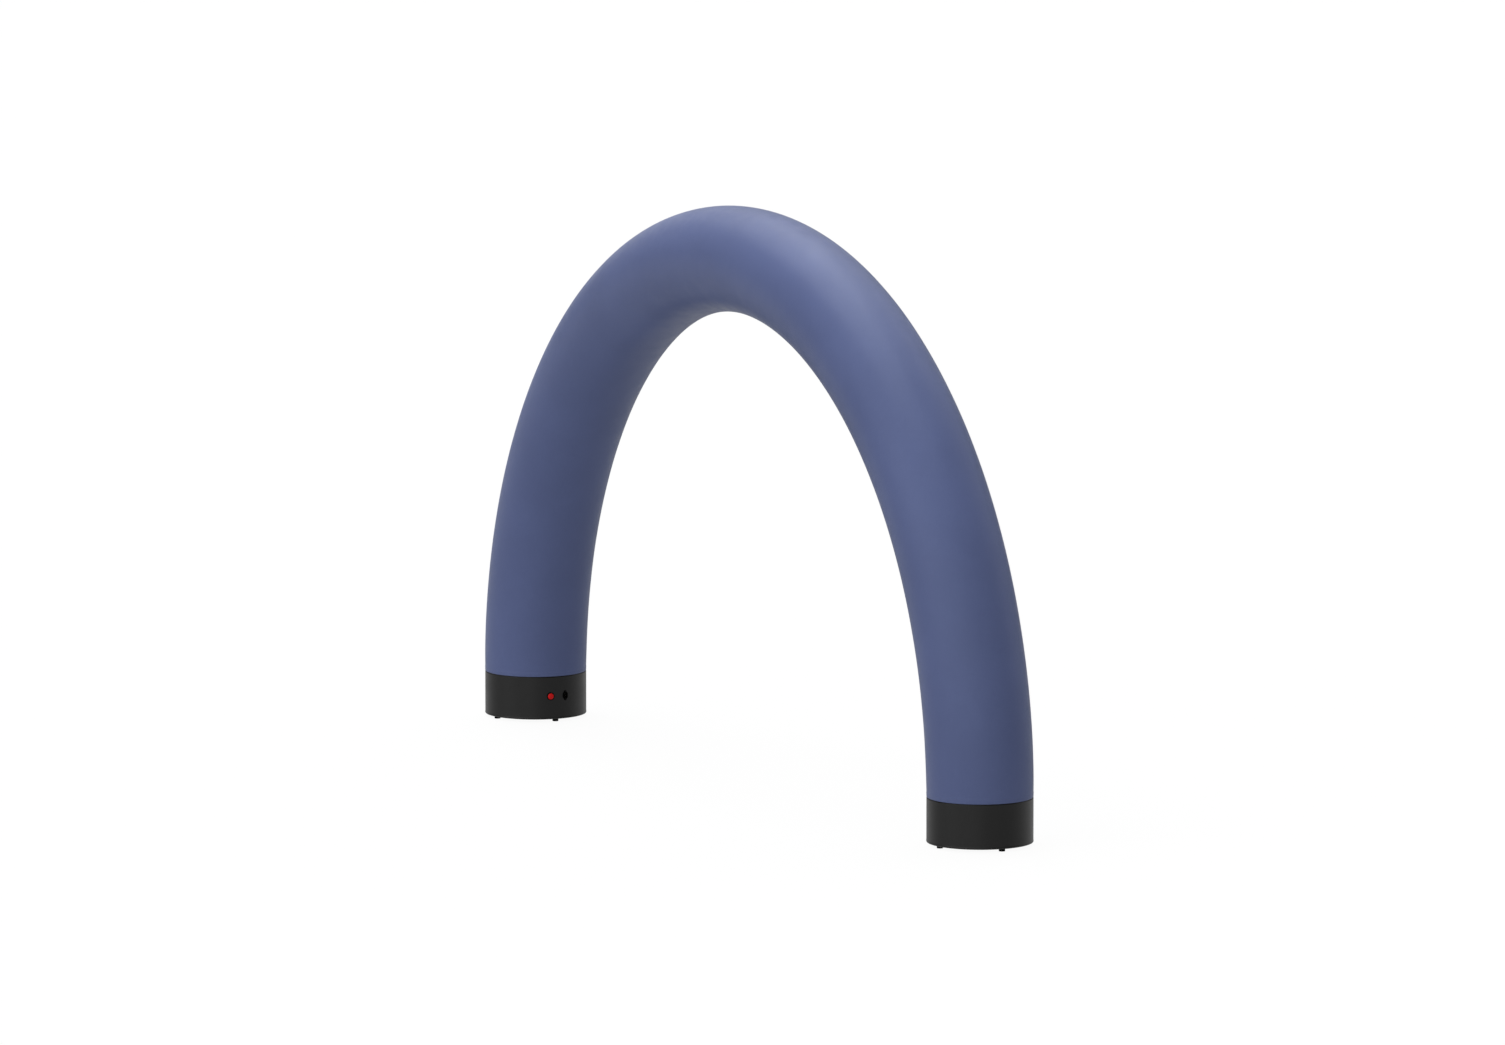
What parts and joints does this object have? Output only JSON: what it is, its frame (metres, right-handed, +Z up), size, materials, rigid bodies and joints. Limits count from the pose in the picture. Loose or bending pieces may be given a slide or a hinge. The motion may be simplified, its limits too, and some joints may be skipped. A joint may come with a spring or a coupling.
{
  "type": "inflatable arch",
  "caption": "Half-circle arch of air-filled slate-blue cloth on dark drum bases with rubber feet, a red push button and a power inlet, for people to walk through.",
  "frame": {"origin": "on the floor, midway between the bases", "axes": "+X from the base with the controls towards the plain base, +Y through the archway, +Z up"},
  "size_m": [5.0484, 0.509, 2.7568],
  "materials": {
    "cloth": "matte coated cloth, fine plain weave",
    "drum": "satin dark grey enamel",
    "rubber": "matte",
    "black_plastic": "satin",
    "red_plastic": "gloss"
  },
  "bodies": {
    "arch": {"arch_skin": "cloth", "base_far": "drum", "base_near": "drum", "foot_far_1": "rubber", "foot_far_2": "rubber", "foot_far_3": "rubber", "foot_far_4": "rubber", "foot_near_1": "rubber", "foot_near_2": "rubber", "foot_near_3": "rubber", "foot_near_4": "rubber", "button_bezel": "black_plastic", "power_inlet": "black_plastic"},
    "button": {"button_cap": "red_plastic"}
  },
  "joints": [
    {"name": "button_press", "type": "slide", "parent": "arch", "child": "button", "axis": [-0.9848, 0.1736, 0], "range_m": [0, 0.003], "stiffness_N_per_m": 400}
  ]
}
